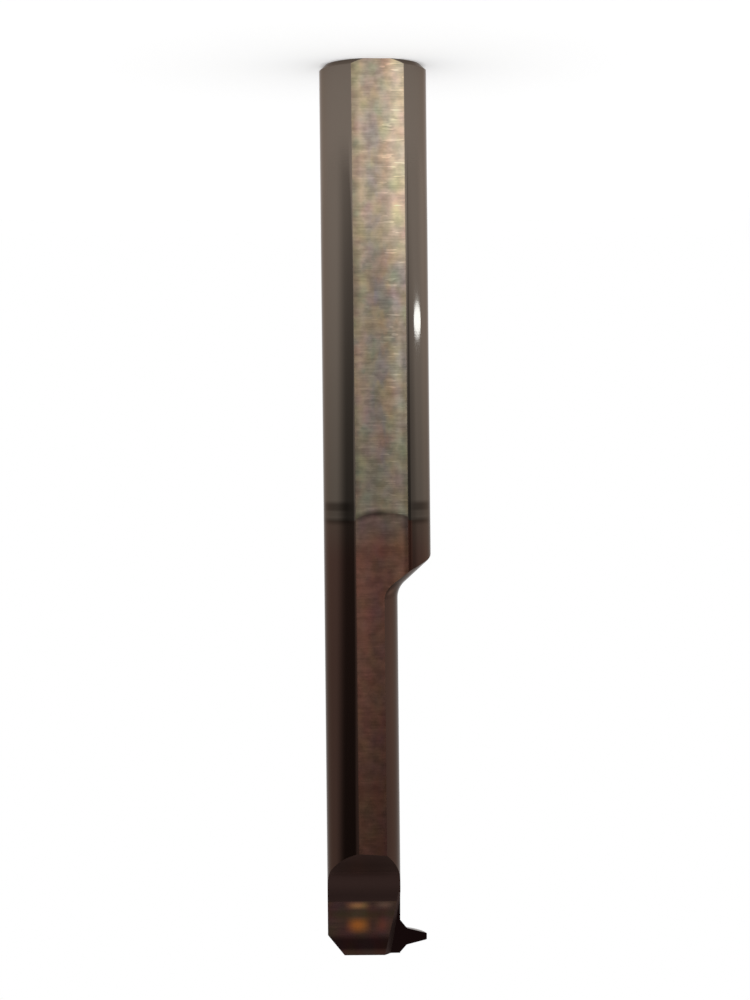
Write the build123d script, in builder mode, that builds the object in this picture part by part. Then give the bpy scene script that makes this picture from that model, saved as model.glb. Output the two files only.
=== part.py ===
from build123d import *
from math import cos, radians, sin, tan
import os

# Mini boring bar for internal trapezoidal threads, ground whole from one solid carbide rod.
# Millimetres. The bar stands on its tail: the origin is the centre of the tail face and +Z runs
# up the bar's axis to the cutting end. The long flat and the rake face look along -Y, and the
# tooth points along -X.

# Rod
shank_diameter = 6.0
overall_length = 50.0
tail_chamfer = 0.3
nose_chamfer_length = 1.15
nose_chamfer_depth = 0.93

# Long flat, which runs from the tail to the chip pocket
flat_distance = 2.6
flat_edge_radius = 0.5

# Neck, relieved on the tooth's side by a round flank whose centre lies off the bar's axis
neck_side = 1.1
flank_radius = 3.9
neck_reach = 20.75
shoulder_angle = 47.7
shoulder_foot_radius = 1.2
shoulder_crown_radius = 0.8
shoulder_overrun = 0.02

# Chip pocket ahead of the neck: a low floor, a round blend and a slope up to the flat. It is
# ground a little turned about the bar's axis, so it is lower on the side away from the tooth.
pocket_turn = 6.5
pocket_floor_height = 0.1
pocket_floor_length = 3.04
pocket_blend_radius = 2.3
pocket_slope_angle = 53.0

# Tooth, seen square to the rake face
tip_reach = 2.6
tip_setback = 0.975
crest_width = 0.37
crest_corner_radius = 0.05
tooth_height = 1.08
tooth_flank_angle = 15.0
flare_angle = 37.5
flare_drop = 0.66
root_radius = 0.15

# Relief under the tooth: its form is swung about a line parallel to the bar's axis
relief_angle = 8.3
relief_swing_radius = 2.98
relief_arc = 85.0

# Rake face: the low side of a slanting groove along the edge of the pocket's floor
rake_angle = 5.0
groove_bottom_side = 0.73
groove_slant = 9.5
groove_fall = 5.0
groove_wall_angle = 45.0
groove_runout = 3.6

# End clearance of the nose face
nose_relief_angle = 4.0

# How far a cutting shape runs past the rod, so that it leaves no skin
overrun = 1.0

# Values that follow from the sizes above
shank_radius = shank_diameter / 2
flank_centre_x = flank_radius - neck_side
shoulder_rise = shank_radius + shoulder_overrun - neck_side
shoulder_run = shoulder_rise / tan(radians(shoulder_angle))
foot_z = overall_length - neck_reach
crown_z = foot_z - shoulder_run
tip_z = overall_length - tip_setback
swing_x = relief_swing_radius * cos(radians(relief_angle)) - tip_reach
swing_y = -relief_swing_radius * sin(radians(relief_angle))
side_limit = shank_radius + overrun

os.makedirs("parts", exist_ok=True)

with BuildPart() as boring_bar:
    # The rod, with a small chamfer at its tail and a long one at its nose
    with BuildSketch(Plane.XZ):
        with BuildLine():
            Polyline(
                (0, 0),
                (shank_radius - tail_chamfer, 0),
                (shank_radius, tail_chamfer),
                (shank_radius, overall_length - nose_chamfer_length),
                (shank_radius - nose_chamfer_depth, overall_length),
                (0, overall_length),
                close=True,
            )
        make_face()
    revolve(axis=Axis.Z)

    # The long flat, with its two edges honed round
    with BuildSketch(Plane.XY):
        with Locations((0, -flat_distance)):
            Rectangle(2 * side_limit, shank_radius, align=(Align.CENTER, Align.MAX))
    extrude(amount=overall_length, mode=Mode.SUBTRACT)
    flat_face = boring_bar.faces().filter_by(Axis.Y).sort_by(Axis.Y)[0]
    fillet(flat_face.edges().filter_by(Axis.Z), flat_edge_radius)

    # The neck's round flank, with the shoulder that leads up to the full shank
    with BuildSketch(Plane.XZ):
        with BuildLine():
            FilletPolyline(
                (-neck_side, overall_length + overrun),
                (-neck_side, foot_z),
                (-neck_side - shoulder_rise, crown_z),
                (-neck_side - shoulder_rise, crown_z - overrun),
                radius=[shoulder_foot_radius, shoulder_crown_radius],
            )
            Polyline(
                (-neck_side - shoulder_rise, crown_z - overrun),
                (-side_limit, crown_z - overrun),
                (-side_limit, overall_length + overrun),
                (-neck_side, overall_length + overrun),
            )
        make_face()
    revolve(axis=Axis((flank_centre_x, 0, 0), (0, 0, 1)), mode=Mode.SUBTRACT)

    # The tooth and the flares at its root, swung down and away from the cutting edge
    with BuildSketch(Plane.XZ.offset(-swing_y)) as tooth:
        crest_x = swing_x - relief_swing_radius
        root_x = crest_x + tooth_height
        half_crest = crest_width / 2
        half_root = half_crest + tooth_height * tan(radians(tooth_flank_angle))
        half_base = half_root + flare_drop / tan(radians(flare_angle))
        base_x = root_x + flare_drop
        with BuildLine():
            Polyline(
                (base_x, tip_z + half_base),
                (root_x, tip_z + half_root),
                (crest_x, tip_z + half_crest),
                (crest_x, tip_z - half_crest),
                (root_x, tip_z - half_root),
                (base_x, tip_z - half_base),
                close=True,
            )
        make_face()
        fillet(tooth.vertices().group_by(Axis.X)[1], root_radius)
        fillet(tooth.vertices().group_by(Axis.X)[0], crest_corner_radius)
    revolve(axis=Axis((swing_x, swing_y, 0), (0, 0, -1)), revolution_arc=relief_arc)

    # The chip pocket, cut across the bar
    pocket_section = Plane.YZ.rotated((0, 0, pocket_turn))
    with BuildSketch(pocket_section):
        with BuildLine():
            floor = Line(
                (-pocket_floor_height, overall_length + overrun),
                (-pocket_floor_height, overall_length - pocket_floor_length),
            )
            blend = JernArc(floor @ 1, floor % 1, pocket_blend_radius, -pocket_slope_angle)
            slope = Line(blend @ 1, (blend @ 1) + (blend % 1) * 2 * shank_radius)
            Polyline(slope @ 1, ((slope @ 1).X, overall_length + overrun), floor @ 0)
        make_face()
    extrude(amount=side_limit, both=True, mode=Mode.SUBTRACT)

    # The rake groove, which leaves the low rake face and a slanting wall beside the floor
    groove_depth_at_tip = (tip_reach - groove_bottom_side) * tan(radians(rake_angle))
    tip_section = Plane((-groove_bottom_side, groove_depth_at_tip, tip_z))
    groove_section = tip_section.rotated((-groove_fall, groove_slant, 0))
    groove_back = groove_runout - tip_setback
    with BuildSketch(groove_section.offset(-groove_back)):
        with BuildLine():
            Polyline(
                (0, 0),
                (overrun / tan(radians(groove_wall_angle)), -overrun),
                (-side_limit, -overrun),
                (-side_limit, -side_limit * tan(radians(rake_angle))),
                close=True,
            )
        make_face()
    extrude(amount=groove_runout + overrun, mode=Mode.SUBTRACT)

    # End clearance, which leans the nose face back below the pocket's floor
    with BuildSketch(pocket_section):
        lean = tan(radians(nose_relief_angle))
        with BuildLine():
            Polyline(
                (-side_limit, overall_length + (side_limit - pocket_floor_height) * lean),
                (side_limit, overall_length - (side_limit + pocket_floor_height) * lean),
                (side_limit, overall_length + overrun),
                (-side_limit, overall_length + overrun),
                close=True,
            )
        make_face()
    extrude(amount=side_limit, both=True, mode=Mode.SUBTRACT)

boring_bar.part.label = "boring_bar"
export_step(boring_bar.part, "parts/boring_bar.step")
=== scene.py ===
import bpy
import math
from mathutils import Matrix, Vector
from types import SimpleNamespace


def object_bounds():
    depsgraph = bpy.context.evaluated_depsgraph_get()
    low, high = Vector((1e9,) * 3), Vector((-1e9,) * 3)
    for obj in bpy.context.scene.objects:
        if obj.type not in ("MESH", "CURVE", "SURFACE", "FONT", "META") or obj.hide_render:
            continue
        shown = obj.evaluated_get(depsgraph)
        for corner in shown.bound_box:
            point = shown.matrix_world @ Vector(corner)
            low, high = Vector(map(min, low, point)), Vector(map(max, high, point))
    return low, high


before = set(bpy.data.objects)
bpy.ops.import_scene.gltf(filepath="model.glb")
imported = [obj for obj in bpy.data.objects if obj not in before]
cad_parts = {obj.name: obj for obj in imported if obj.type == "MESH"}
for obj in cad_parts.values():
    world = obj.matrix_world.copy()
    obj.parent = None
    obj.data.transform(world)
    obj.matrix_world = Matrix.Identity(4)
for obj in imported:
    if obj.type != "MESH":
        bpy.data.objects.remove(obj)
cad_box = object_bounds()
scene = bpy.context.scene
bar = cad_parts["boring_bar"]

MM = 0.001
UP = Vector((0, 0, 1))

# Photograph: 750 x 1000 pixels, the bar's head down, seen nearly square to its axis
IMAGE_HEIGHT = 1000
IMAGE_CENTRE = (375, 500)
PIXELS_PER_MM = 17.78
NOSE_ROW = 954.7
AXIS_COLUMN = 376.8
COLUMNS_PER_ROW = 0.0100
FLAT_TURN = math.radians(5.85)
AXIS_PITCH = math.radians(1.2)
VIEW_DISTANCE = 130 * MM
SENSOR_HEIGHT = 36
TO_CAMERA = Vector((math.sin(FLAT_TURN), -math.cos(FLAT_TURN), 0))
TO_IMAGE_RIGHT = TO_CAMERA.cross(UP)

# Levels of the room: its ceiling as the bar mirrors it, and the even light on dull surfaces
CEILING = 0.36
EVEN_LIGHT = 0.9

# The sheet of paper that the bar stands on, and how much it is lifted towards white
PAPER = (0.8, 0.8, 0.8)
PAPER_LIFT = 0.32

# The bar's length in metres, and the edges of its surfaces in millimetres. The wall beside the
# rake face slants: its foot lies further aside by WALL_SLANT for each millimetre back.
BAR_LENGTH = cad_box[1].z
FLAT_HEIGHT = 2.6
POCKET_LENGTH = 6.4
FLOOR_LENGTH = 3.04
WALL_FOOT_AT_NOSE = 0.55
WALL_SLANT = 0.165

# The coating's edge and the ring beside it, in millimetres back from the nose, and the arch that
# the edge makes on the flat
COAT_EDGE = 24.60
COAT_EDGE_ON_FLAT = COAT_EDGE + 0.09
MASK_RING = 25.35
ARCH_RISE = 0.32
ARCH_CENTRE = 0.1
ARCH_HALF_WIDTH = 1.55

# Roughness of each surface. The flat's goes from the first to the second with its streaks.
ROUGH_BARE = 0.055
ROUGH_COATED = 0.12
ROUGH_FLAT = (0.30, 0.40)
ROUGH_SLOPE = 0.35
ROUGH_FLOOR = 0.24

# Colours that are the same all over a mark or a face, and the metal's tint at a grazing angle
MASK_MARK = (0.023, 0.016, 0.012)
RAKE_FACE = (0.045, 0.020, 0.020)
WALL_FACE = (0.118, 0.074, 0.067)
GRAZING_TINT = (0.64, 0.59, 0.56, 1)


class Graph:
    """Short calls for building a node tree. A value may be a number, a colour or a socket."""

    def __init__(self, tree):
        self.tree = tree
        tree.nodes.clear()

    def put(self, socket, value):
        if isinstance(value, bpy.types.NodeSocket):
            self.tree.links.new(value, socket)
        elif isinstance(value, tuple) and socket.type == "RGBA":
            socket.default_value = (*value, 1)
        else:
            socket.default_value = value

    def node(self, kind, settings=None, **inputs):
        made = self.tree.nodes.new(kind)
        for name, value in (settings or {}).items():
            setattr(made, name, value)
        for name, value in inputs.items():
            self.put(made.inputs[name.replace("_", " ")], value)
        return made

    def math(self, operation, *values):
        made = self.node("ShaderNodeMath", {"operation": operation})
        for socket, value in zip(made.inputs, values):
            self.put(socket, value)
        return made.outputs[0]

    def add(self, first, *others):
        total = first
        for value in others:
            total = self.math("ADD", total, value)
        return total

    def sub(self, a, b):
        return self.math("SUBTRACT", a, b)

    def mul(self, first, *others):
        product = first
        for value in others:
            product = self.math("MULTIPLY", product, value)
        return product

    def largest(self, first, *others):
        most = first
        for value in others:
            most = self.math("MAXIMUM", most, value)
        return most

    def away(self, value, centre=0.0):
        """How far value is from centre, to either side."""
        return self.math("ABSOLUTE", self.sub(value, centre))

    def step(self, value, start, end, low=0.0, high=1.0):
        """A smooth change from low to high as value goes from start to end."""
        made = self.node("ShaderNodeMapRange", {"interpolation_type": "SMOOTHSTEP"})
        limits = {"Value": value, "From Min": start, "From Max": end, "To Min": low, "To Max": high}
        for name, number in limits.items():
            self.put(made.inputs[name], number)
        return made.outputs["Result"]

    def bell(self, value, centre, half_width):
        """1 at centre, falling smoothly to 0 at half_width to either side."""
        return self.step(self.away(value, centre), 0.0, half_width, 1.0, 0.0)

    def decay(self, value, start, length):
        """1 at start, then smaller by the factor e with each length."""
        return self.math("EXPONENT", self.mul(self.sub(value, start), -1 / length))

    def blend(self, factor, a, b):
        made = self.node("ShaderNodeMix", {"data_type": "FLOAT"})
        self.put(made.inputs[0], factor)
        self.put(made.inputs[2], a)
        self.put(made.inputs[3], b)
        return made.outputs[0]

    def mix(self, factor, a, b, blend="MIX"):
        made = self.node("ShaderNodeMix", {"data_type": "RGBA", "blend_type": blend})
        self.put(made.inputs[0], factor)
        self.put(made.inputs[6], a)
        self.put(made.inputs[7], b)
        return made.outputs[2]

    def paint(self, colour, *layers):
        """Colours laid over colour one after another. Each layer says how much of it shows."""
        for amount, other in layers:
            colour = self.mix(amount, colour, other)
        return colour

    def shaded(self, colour, brightness):
        grey = self.vector(brightness, brightness, brightness)
        return self.mix(1.0, colour, grey, "MULTIPLY")

    def vector(self, x, y, z):
        return self.node("ShaderNodeCombineXYZ", X=x, Y=y, Z=z).outputs[0]

    def scaled(self, vector, factor):
        made = self.node("ShaderNodeVectorMath", {"operation": "SCALE"}, Vector=vector, Scale=factor)
        return made.outputs[0]

    def dot(self, vector, axis):
        made = self.node("ShaderNodeVectorMath", {"operation": "DOT_PRODUCT"})
        self.put(made.inputs[0], vector)
        made.inputs[1].default_value = axis
        return made.outputs["Value"]

    def noise(self, vector, detail=2.0, roughness=0.5, distortion=0.0, output="Fac"):
        made = self.node("ShaderNodeTexNoise", Vector=vector, Scale=1.0, Detail=detail,
                         Roughness=roughness, Distortion=distortion)
        return made.outputs[output]


def build_camera():
    """A camera aimed near the bar's middle and turned head over heels, as the photograph is."""
    rows_to_nose = NOSE_ROW - IMAGE_CENTRE[1]
    rows_per_metre = PIXELS_PER_MM / MM * math.cos(AXIS_PITCH)
    rows_lost = rows_to_nose * math.sin(AXIS_PITCH) / VIEW_DISTANCE
    aim_height = BAR_LENGTH - rows_to_nose / (rows_per_metre - rows_lost)
    forward = -TO_CAMERA * math.cos(AXIS_PITCH) + UP * math.sin(AXIS_PITCH)
    image_up = (forward * forward.z - UP).normalized()
    image_right = forward.cross(image_up)
    lean = math.atan(COLUMNS_PER_ROW)
    right = image_right * math.cos(lean) - image_up * math.sin(lean)
    up = image_up * math.cos(lean) + image_right * math.sin(lean)
    offset = (AXIS_COLUMN - IMAGE_CENTRE[0]) / PIXELS_PER_MM * MM
    aim = UP * aim_height - right * offset
    data = bpy.data.cameras.new("camera")
    camera = bpy.data.objects.new("camera", data)
    scene.collection.objects.link(camera)
    axes = Matrix((right, up, -forward)).transposed().to_4x4()
    camera.matrix_world = Matrix.Translation(aim - forward * VIEW_DISTANCE) @ axes
    data.sensor_fit = "VERTICAL"
    data.sensor_height = SENSOR_HEIGHT
    data.lens = PIXELS_PER_MM / MM * VIEW_DISTANCE / IMAGE_HEIGHT * SENSOR_HEIGHT
    data.clip_start = 5 * MM
    scene.camera = camera


def camera_side(g, azimuth, rise):
    """The dim side of the room, with a broad soft glow that the long flat mirrors."""
    dim_from = -7.4
    front = g.math("MINIMUM", g.add(g.mul(g.decay(rise, dim_from, 6.0), 0.48), 0.04), 1.0)
    glow = g.math("MINIMUM", g.mul(g.decay(rise, dim_from, 11.0), 1.25), 1.5)
    centre = g.add(g.step(rise, -4.5, -1.0, 22.0, 0.0), g.step(rise, 4.0, 7.0, 0.0, -16.0),
                   g.step(rise, -6.0, -4.8, 12.0, 0.0))
    glow = g.mul(glow, g.step(g.away(azimuth, centre), 18.0, 46.0, 1.0, 0.0),
                 g.step(rise, 11.0, 15.0, 1.0, 0.0))
    return g.blend(g.step(rise, 10.0, 34.0), g.largest(front, glow), CEILING)


def bright_side(g, azimuth, rise):
    """The bright sides and back. On the image's right the wall has lighter bands."""
    on_right = g.mul(g.step(azimuth, 85.0, 105.0), g.step(azimuth, 125.0, 165.0, 1.0, 0.3))
    lighter = g.add(g.mul(g.bell(rise, 4.5, 3.5), 0.28), g.mul(g.bell(rise, 19.0, 8.0), 0.7))
    bands = g.sub(g.add(lighter, 1.0), g.mul(g.step(rise, 24.0, 34.0), 0.45))
    return g.mul(g.step(rise, -5.0, 5.0, 0.95, 0.60),
                 g.blend(on_right, g.step(rise, 8.0, 18.0, 1.0, 0.4), bands),
                 g.add(g.mul(g.bell(azimuth, 128.0, 22.0), 0.2), 1.0))


def build_world():
    """White for the camera. Reflections see a pale room whose camera side is dim."""
    world = bpy.data.worlds.new("world")
    scene.world = world
    world.use_nodes = True
    g = Graph(world.node_tree)

    # In degrees, the azimuth goes from the camera's side to the image's right. The rise starts
    # from what an upright surface mirrors at the image's centre.
    direction = g.node("ShaderNodeTexCoord").outputs["Generated"]
    turn = g.math("ARCTAN2", g.dot(direction, TO_IMAGE_RIGHT), g.dot(direction, TO_CAMERA))
    azimuth = g.math("DEGREES", turn)
    elevation = g.math("DEGREES", g.math("ARCSINE", g.dot(direction, UP)))
    rise = g.sub(elevation, math.degrees(AXIS_PITCH))

    # The edge between the dim side and the bright ones lies further round the higher it is
    lean = g.add(g.mul(rise, g.step(rise, -2.0, 4.0, 1.3, 1.8)), 3.0)
    on_right = g.math("GREATER_THAN", azimuth, 0.0)
    start = g.blend(on_right, 64.0, g.step(rise, -3.0, 1.0, 76.0, 66.0))
    aside = g.step(g.sub(g.away(azimuth), lean), start, 98.0)
    room = g.blend(aside, camera_side(g, azimuth, rise), bright_side(g, azimuth, rise))
    room = g.blend(g.step(rise, 40.0, 60.0), room, CEILING)

    path = g.node("ShaderNodeLightPath").outputs
    mirrored = g.largest(path["Is Glossy Ray"], path["Is Transmission Ray"])
    level = g.blend(path["Is Camera Ray"], g.blend(mirrored, EVEN_LIGHT, room), 1.0)
    light = g.node("ShaderNodeBackground", Color=(1, 1, 1), Strength=level)
    g.node("ShaderNodeOutputWorld", Surface=light.outputs[0])


def build_floor():
    """A pale sheet under the bar that reaches out in front of it and fades into the background."""
    half_width, behind, ahead = 55 * MM, 110 * MM, 420 * MM
    mesh = bpy.data.meshes.new("floor")
    corners = [(-half_width, behind, 0), (half_width, behind, 0),
               (half_width, -ahead, 0), (-half_width, -ahead, 0)]
    mesh.from_pydata(corners, [], [(0, 3, 2, 1)])
    floor = bpy.data.objects.new("floor", mesh)
    scene.collection.objects.link(floor)
    material = bpy.data.materials.new("floor")
    material.use_nodes = True
    g = Graph(material.node_tree)
    place = g.node("ShaderNodeTexCoord").outputs["Object"]
    x, y, _ = g.node("ShaderNodeSeparateXYZ", Vector=place).outputs
    solid = g.mul(g.step(g.away(x), 0.5 * half_width, half_width, 1.0, 0.0),
                  g.step(y, 0.4 * behind, behind, 1.0, 0.0),
                  g.step(y, -ahead, -0.7 * ahead))
    path = g.node("ShaderNodeLightPath").outputs
    seen = g.largest(path["Is Camera Ray"], path["Is Glossy Ray"], path["Is Transmission Ray"])
    paper = g.node("ShaderNodeBsdfDiffuse", Color=PAPER)
    lift = g.node("ShaderNodeEmission", Color=(1, 1, 1), Strength=g.mul(seen, PAPER_LIFT))
    sheet = g.node("ShaderNodeAddShader")
    g.put(sheet.inputs[0], paper.outputs[0])
    g.put(sheet.inputs[1], lift.outputs[0])
    faded = g.node("ShaderNodeMixShader", Fac=solid)
    g.put(faded.inputs[1], g.node("ShaderNodeBsdfTransparent").outputs[0])
    g.put(faded.inputs[2], sheet.outputs[0])
    g.node("ShaderNodeOutputMaterial", Surface=faded.outputs[0])
    mesh.materials.append(material)


def add_lamp(name, turn, distance, height, aim_height, size, radiance, shape="RECTANGLE"):
    """An area lamp, turned by an angle in degrees from the camera's side to the image's right."""
    angle = math.radians(turn)
    place = (TO_CAMERA * math.cos(angle) + TO_IMAGE_RIGHT * math.sin(angle)) * distance
    place.z = height
    data = bpy.data.lights.new(name, "AREA")
    data.shape = shape
    data.size, data.size_y = size
    filled = math.pi / 4 if shape == "ELLIPSE" else 1
    data.energy = math.pi * filled * size[0] * size[1] * radiance
    lamp = bpy.data.objects.new(name, data)
    lamp.location = place
    lamp.rotation_euler = (UP * aim_height - place).to_track_quat("-Z", "Y").to_euler()
    scene.collection.objects.link(lamp)
    return data


def build_lamps():
    add_lamp("front_softbox", turn=12, distance=260 * MM, height=60 * MM, aim_height=24 * MM,
             size=(110 * MM, 90 * MM), radiance=0.1)
    glint = add_lamp("side_glint", turn=102.2, distance=100 * MM, height=8.75 * MM,
                     aim_height=14.2 * MM, size=(42 * MM, 3.2 * MM), radiance=10,
                     shape="ELLIPSE")
    glint.color = (0.68, 0.85, 1.0)


def find_places(g):
    """Where a point of the bar lies, in millimetres from the axis and back from the nose, and
    masks for the surfaces that have a finish of their own."""
    place = g.scaled(g.node("ShaderNodeTexCoord").outputs["Object"], 1 / MM)
    x, y, z = g.node("ShaderNodeSeparateXYZ", Vector=place).outputs
    across = g.mul(x, -1.0)
    height = g.mul(y, -1.0)
    back = g.sub(BAR_LENGTH / MM, z)
    normal = g.node("ShaderNodeNewGeometry").outputs["Normal"]
    faces_front = g.dot(normal, -Vector((0, 1, 0)))
    faces_right = g.dot(normal, -Vector((1, 0, 0)))
    faces_nose = g.dot(normal, UP)

    flat = g.mul(g.step(height, FLAT_HEIGHT - 0.03, FLAT_HEIGHT - 0.005),
                 g.step(faces_front, 0.97, 0.995))
    in_pocket = g.step(back, POCKET_LENGTH - 0.05, POCKET_LENGTH, 1.0, 0.0)
    low = g.mul(in_pocket, g.step(faces_front, 0.98, 0.99), g.step(height, 0.3, 0.4, 1.0, 0.0))
    wall_foot = g.add(g.mul(back, WALL_SLANT), WALL_FOOT_AT_NOSE)
    rake = g.mul(low, g.step(g.sub(across, wall_foot), -0.03, 0.03))
    floor = g.mul(g.sub(low, rake), g.step(back, FLOOR_LENGTH, FLOOR_LENGTH + 0.03, 1.0, 0.0))
    slope = g.mul(in_pocket, g.step(faces_front, 0.5, 0.55), g.step(faces_nose, 0.004, 0.02),
                  g.sub(1.0, g.add(floor, rake)))
    wall = g.mul(slope, g.step(faces_right, 0.4, 0.6))
    return SimpleNamespace(x=x, z=z, across=across, height=height, back=back, faces_nose=faces_nose,
                           flat=flat, rake=rake, floor=floor, slope=slope, wall=wall)


def make_grain(g, on):
    """Noise fields, each with its scale across and along the bar. Streaks lie across it, as the
    wheel passed."""
    def field(across, along, layer, **settings):
        place = g.vector(g.mul(on.x, across), layer, g.mul(on.z, along))
        return g.noise(place, **settings)

    return SimpleNamespace(
        streaks=field(0.5, 9.0, layer=0.0, detail=4.0, roughness=0.7),
        hairs=field(0.7, 20.0, layer=3.0),
        dashes=field(0.9, 5.5, layer=11.0, detail=1.0),
        patches=field(1.1, 0.5, layer=7.0, detail=3.0, distortion=0.3),
        blotches=field(0.9, 0.8, layer=19.0, detail=3.0),
        mottle=field(1.6, 2.2, layer=43.0),
        rings=field(0.0, 12.0, layer=0.0, detail=3.0, roughness=0.7),
        tints=g.scaled(field(1.2, 0.8, layer=31.0, detail=1.0, output="Color"), 2.0))


def bare_colour(g, on, grain):
    """Bare ground carbide, with painted shade that darkens it towards the coating and painted light
    and shade on its flat. The flat has faint hues of its own besides.
    """
    # Painted shade: the round part grows darker from the tail towards the coating.
    round_part = g.mix(g.step(on.back, 44.0, 25.0), (0.156, 0.126, 0.103), (0.112, 0.091, 0.073))

    middle = g.step(on.across, -1.3, -0.2)
    right = g.step(on.across, 0.0, 1.1)
    gold = g.mul(g.step(grain.blotches, 0.46, 0.64), 0.6)
    orange = g.mul(g.bell(on.across, 0.38, 0.9), g.step(grain.patches, 0.38, 0.62), 0.75)
    lilac = g.mul(g.bell(on.across, -0.2, 1.1), g.step(grain.patches, 0.54, 0.40), 0.7)
    green_by_coat = g.mul(g.bell(on.back, 26.8, 2.6), g.bell(on.across, -0.4, 0.8), 0.7)
    green = g.largest(green_by_coat, g.mul(g.step(grain.blotches, 0.46, 0.36), 0.5))
    yellow = g.mul(g.bell(on.back, 26.2, 1.8), g.step(on.across, 0.0, 0.6), 0.5)
    # Painted highlight: the flat turns pale and warm near the tail, where it mirrors a bright light.
    cream_highlight = g.mul(g.step(on.back, 37.0, 42.0), g.step(on.across, -0.4, 1.0, 0.2, 0.8))
    flat_part = g.paint((0.30, 0.235, 0.165),
                        (middle, (0.27, 0.220, 0.175)),
                        (right, (0.37, 0.315, 0.245)),
                        (gold, (0.33, 0.265, 0.165)),
                        (orange, (0.36, 0.25, 0.165)),
                        (lilac, (0.26, 0.215, 0.200)),
                        (green, (0.225, 0.225, 0.170)),
                        (yellow, (0.28, 0.235, 0.155)),
                        (cream_highlight, (0.46, 0.37, 0.26)))

    # Painted light and shade on the flat: a highlight near the tail, shade towards the coating and
    # along the left edge, and lighter sides away from the coating. It is also darker near its right
    # edge nearer the coating and near its left edge nearer the tail.
    lit_tail = g.step(on.back, 42.5, 37.0, 1.4, 1.0)
    shade_towards_head = g.step(on.back, 36.0, 27.0, 1.0, 0.80)
    paler = g.mul(g.step(g.away(on.across), 0.4, 1.0), g.step(on.back, 27.0, 31.0))
    darker_near_edges = g.add(g.mul(g.step(on.across, 1.05, 1.30), g.step(on.back, 37.5, 34.5)),
                   g.mul(g.step(on.across, -0.95, -1.20), g.step(on.back, 34.5, 37.5)))
    brightness = g.mul(lit_tail, shade_towards_head, g.step(on.across, -1.4, -1.1, 0.8, 1.0),
                       g.add(g.mul(paler, 0.18), 1.0), g.sub(1.0, g.mul(darker_near_edges, 0.2)))
    return g.mix(on.flat, round_part, g.shaded(flat_part, brightness))


def coating_depth(g, on):
    """How far inside the coating a point lies, in millimetres. On the flat its edge is an arch."""
    off_centre = g.mul(g.away(on.across, ARCH_CENTRE), 1 / ARCH_HALF_WIDTH)
    arch = g.mul(on.flat, g.largest(g.sub(1.0, g.math("POWER", off_centre, 3.0)), 0.0))
    edge = g.add(g.blend(on.flat, COAT_EDGE, COAT_EDGE_ON_FLAT), g.mul(arch, ARCH_RISE))
    return g.sub(edge, on.back)


def coated_colour(g, on, grain, inside):
    """Brown coating, paler and greyer just inside its edge, with a painted red highlight beside the
    flat's right edge and painted shade on the flat towards the nose and along that edge.
    """
    thick = g.step(inside, 0.2, 2.4)
    # Painted highlight: a redder, lighter stripe on the round part beside the flat's right edge.
    red_edge_highlight = g.mul(g.bell(on.across, 1.52, 0.25), g.step(on.height, 2.2, 2.3))
    round_part = g.paint((0.078, 0.052, 0.040),
                         (thick, (0.0726, 0.0400, 0.0310)),
                         (red_edge_highlight, (0.150, 0.060, 0.042)))
    flat_part = g.paint((0.142, 0.066, 0.045),
                        (g.step(grain.patches, 0.35, 0.65), (0.121, 0.059, 0.048)),
                        (g.step(g.away(on.across), 0.3, 1.1), (0.172, 0.082, 0.057)))
    flat_part = g.mix(thick, (0.155, 0.104, 0.082), flat_part)
    # Painted shade on the coated flat: darker towards the nose and along its right edge.
    brightness = g.mul(g.step(on.back, 20.0, 7.0, 1.0, 0.66),
                       g.step(on.across, 1.10, 1.36, 1.0, 0.62))
    return g.mix(on.flat, round_part, g.shaded(flat_part, brightness))


def mask_marks(g, on, inside):
    """How dark the coating mask's rings are on the round part, and the arch's rim on the flat."""
    wide = g.mul(g.step(g.away(on.back, MASK_RING), 0.10, 0.42, 1.0, 0.0), 0.72)
    thin = g.mul(g.bell(on.back, COAT_EDGE, 0.34), 0.68)
    between = g.mul(g.bell(on.back, 25.0, 0.6), 0.38)
    rings = g.mul(g.largest(wide, thin, between),
                  g.step(g.away(on.across), 1.45, 2.1, 0.3, 1.0))
    rim = g.mul(g.bell(inside, 0.0, 0.32), g.add(g.mul(g.bell(on.across, -0.25, 1.3), 0.5), 0.3))
    return g.blend(on.flat, rings, rim)


def wheel_marks(g, on, grain, coated):
    """Brightness of the flat's grinding streaks, short dashes, fine threads and soft clouds."""
    streaks = g.mul(g.blend(coated, 0.12, 0.06), g.step(grain.streaks, 0.30, 0.70, -1.0, 1.0))
    sparse = g.blend(g.bell(on.across, 0.8, 1.1), 0.35, 1.0)
    dashes = g.mul(g.step(grain.dashes, 0.62, 0.68), sparse, g.blend(coated, 0.45, 0.20))
    threads = g.mul(coated, g.step(grain.hairs, 0.56, 0.70), g.step(grain.patches, 0.40, 0.56),
                    0.16)
    clouds = g.step(grain.mottle, 0.35, 0.65, -0.14, 0.14)
    return g.add(g.mul(on.flat, g.add(streaks, dashes, threads, clouds)), 1.0)


def steep_colour(g, on):
    """The pocket's slope and blend, with painted light and shade, and the narrow wall beside the rake
    face.
    """
    # Painted shade: the blend, which faces less towards the nose, is darker than the slope.
    steep = g.mix(g.step(on.faces_nose, 0.70, 0.80), (0.080, 0.045, 0.039), (0.102, 0.063, 0.054))
    # Painted light and shade: a lighter band across the slope's middle and a darker one lower down,
    # near the floor.
    lighter = g.mul(g.bell(on.back, 4.95, 0.5), 0.33)
    darker = g.mul(g.bell(on.back, 3.5, 0.7), 0.2)
    steep = g.shaded(steep, g.add(g.sub(lighter, darker), 1.0))
    return g.mix(on.wall, steep, WALL_FACE)


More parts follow.
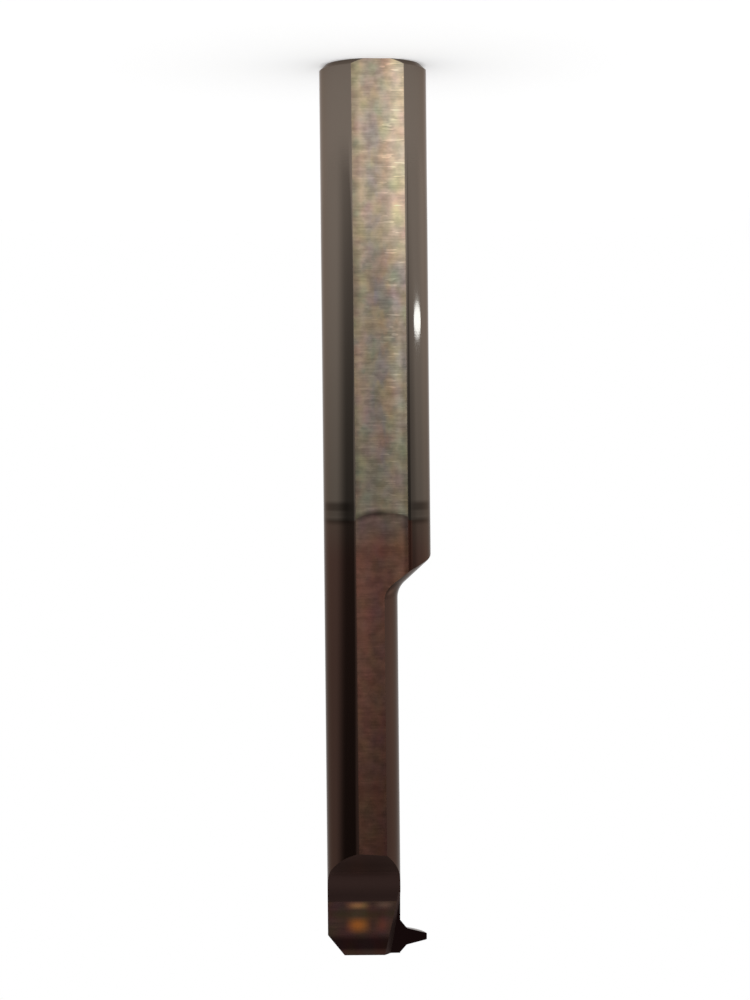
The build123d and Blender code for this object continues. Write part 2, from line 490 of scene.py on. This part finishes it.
def floor_colour(g, on, grain):
    """Bands across the pocket's floor, with painted reflections of light as warm spots and bands, and
    a dark end at the nose.
    """
    left = g.bell(on.across, -1.3, 0.85)
    # Painted reflections: the orange and red spots here and the gold and pale bands below are light
    # mirrored in the hollow floor.
    reflection_row = g.bell(on.back, 1.70, 0.60)
    olive = g.bell(on.back, 2.35, 0.35)
    tan = g.mul(g.bell(on.back, 2.3, 0.5), left, 0.3)
    gold = g.mul(g.bell(on.back, 2.82, 0.30), left)
    orange = g.mul(reflection_row, left)
    pale = g.mul(g.bell(on.back, 2.85, 0.30), g.bell(on.across, 0.20, 0.7), 0.4)
    red = g.mul(reflection_row, g.bell(on.across, 0.1, 0.6))
    dark_end = g.step(on.back, 1.32, 0.80)
    brown_lip = g.step(on.back, 0.45, 0.15)
    bands = g.paint((0.105, 0.056, 0.046),
                    (g.step(grain.streaks, 0.35, 0.65), (0.140, 0.074, 0.058)),
                    (olive, (0.100, 0.062, 0.040)),
                    (tan, (0.20, 0.12, 0.08)),
                    (gold, (0.55, 0.26, 0.11)),
                    (orange, (0.70, 0.22, 0.05)),
                    (pale, (0.42, 0.25, 0.17)),
                    (red, (0.26, 0.085, 0.055)),
                    (dark_end, (0.041, 0.019, 0.018)),
                    (brown_lip, (0.120, 0.060, 0.046)))
    return g.mix(0.3, bands, grain.tints, "MULTIPLY")


def finish_carbide(material):
    """Ground carbide: bare from the tail to the bar's middle, coated brown from there to the nose."""
    material.use_nodes = True
    g = Graph(material.node_tree)
    on = find_places(g)
    grain = make_grain(g, on)
    inside = coating_depth(g, on)
    coated = g.step(inside, -0.05, 0.05)

    base = g.mix(coated, bare_colour(g, on, grain), coated_colour(g, on, grain, inside))
    base = g.mix(mask_marks(g, on, inside), base, MASK_MARK)
    base = g.shaded(base, wheel_marks(g, on, grain, coated))
    base = g.mix(g.mul(on.flat, 0.2), base, grain.tints, "MULTIPLY")
    base = g.paint(base,
                   (on.slope, steep_colour(g, on)),
                   (on.floor, floor_colour(g, on, grain)),
                   (on.rake, RAKE_FACE))

    rough_flat = g.step(grain.hairs, 0.3, 0.7, *ROUGH_FLAT)
    roughness = g.blend(on.flat, g.blend(coated, ROUGH_BARE, ROUGH_COATED), rough_flat)
    roughness = g.blend(on.floor, g.blend(on.slope, roughness, ROUGH_SLOPE), ROUGH_FLOOR)
    relief = g.blend(on.flat, g.mul(grain.rings, 0.08), g.add(grain.streaks, g.mul(grain.hairs, 0.4)))
    bump = g.node("ShaderNodeBump", Strength=0.25, Distance=0.02 * MM, Height=relief)

    surface = g.node("ShaderNodeBsdfPrincipled", Base_Color=base, Metallic=1.0,
                     Roughness=roughness, Normal=bump.outputs[0])
    surface.inputs["Specular Tint"].default_value = GRAZING_TINT
    g.node("ShaderNodeOutputMaterial", Surface=surface.outputs[0])


build_camera()
build_world()
build_floor()
build_lamps()
for slot in bar.material_slots:
    finish_carbide(slot.material)

scene.view_settings.view_transform = "Standard"
